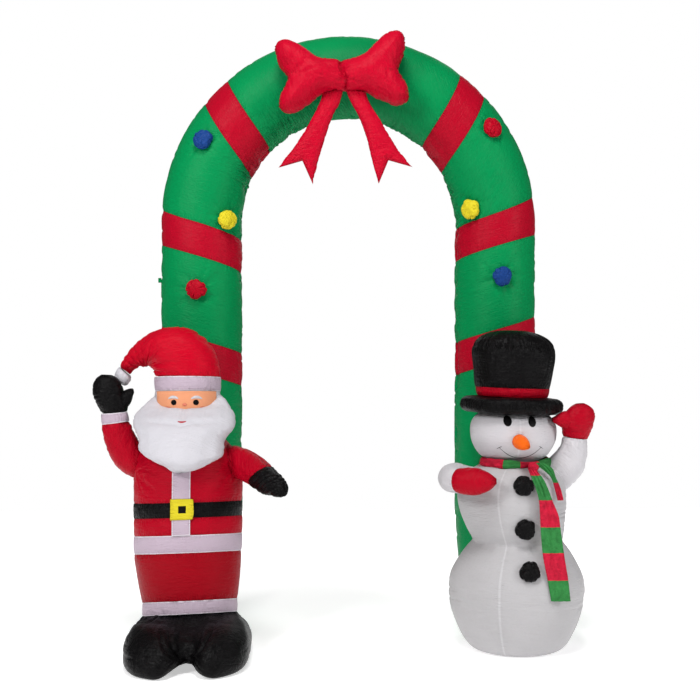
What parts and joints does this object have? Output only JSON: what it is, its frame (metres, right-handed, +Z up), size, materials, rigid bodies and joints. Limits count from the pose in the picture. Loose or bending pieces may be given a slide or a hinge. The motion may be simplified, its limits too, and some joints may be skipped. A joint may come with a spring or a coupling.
{
  "type": "inflatable walk-through arch with two festive figures",
  "caption": "Walk-through inflatable arch: a striped tube with a bow and ornaments, a bearded figure in a red coat at one leg and a snowman at the other.",
  "frame": {"origin": "on the floor, at the middle of the whole footprint", "axes": "+Z up; the arch spans along X and is walked through along Y; its front, with the figures, faces -Y; the bearded figure is at -X"},
  "size_m": [1.902, 0.9504, 2.4295],
  "materials": {
    "green": "woven polyester, slightly glossy",
    "band_red": "woven polyester, slightly glossy",
    "bow": "woven polyester, slightly glossy",
    "scarlet": "woven polyester, slightly glossy",
    "black": "woven polyester, slightly glossy",
    "white": "woven polyester, slightly glossy",
    "snow": "woven polyester, slightly glossy",
    "scarf": "woven polyester, slightly glossy",
    "trim": "woven polyester, slightly glossy",
    "skin": "woven polyester, slightly glossy",
    "yellow": "woven polyester, slightly glossy",
    "blue": "woven polyester, slightly glossy",
    "orange": "woven polyester, slightly glossy"
  },
  "bodies": {
    "root": {"arch_band_left_1": "band_red", "arch_band_left_2": "band_red", "arch_band_left_3": "band_red", "arch_band_right_1": "band_red", "arch_band_right_2": "band_red", "arch_band_right_3": "band_red", "arch_foot_left": "green", "arch_foot_right": "green", "arch_green_left_1": "green", "arch_green_left_2": "green", "arch_green_right_1": "green", "arch_green_right_2": "green", "arch_green_top": "green", "bow_loops": "bow", "bow_tail_left": "bow", "bow_tail_right": "bow", "ornament_left_blue": "blue", "ornament_left_red": "scarlet", "ornament_left_yellow": "yellow", "ornament_right_blue": "blue", "ornament_right_red": "scarlet", "ornament_right_yellow": "yellow", "santa_beard": "white", "santa_belt": "black", "santa_boots": "black", "santa_buckle": "yellow", "santa_chest": "scarlet", "santa_face": "skin", "santa_hat": "scarlet", "santa_hat_band": "trim", "santa_hat_tip": "white", "santa_head": "white", "santa_hem_trim": "trim", "santa_lowered_arm": "scarlet", "santa_lowered_mitten": "black", "santa_placket_lower": "trim", "santa_placket_upper": "trim", "santa_raised_arm": "scarlet", "santa_raised_cuff": "trim", "santa_raised_mitten": "black", "santa_skirt": "scarlet", "santa_waist": "scarlet", "santa_waist_trim": "trim", "snowman_body": "snow", "snowman_button_lower": "black", "snowman_button_middle": "black", "snowman_button_upper": "black", "snowman_folded_arm": "snow", "snowman_folded_mitten": "scarlet", "snowman_hat": "black", "snowman_hat_band": "scarlet", "snowman_hat_brim": "black", "snowman_head": "snow", "snowman_nose": "orange", "snowman_raised_arm": "snow", "snowman_raised_mitten": "scarlet", "snowman_scarf_long_tail": "scarf", "snowman_scarf_short_tail": "scarf", "snowman_scarf_wrap": "scarf", "tie_loop": "green"}
  },
  "joints": []
}
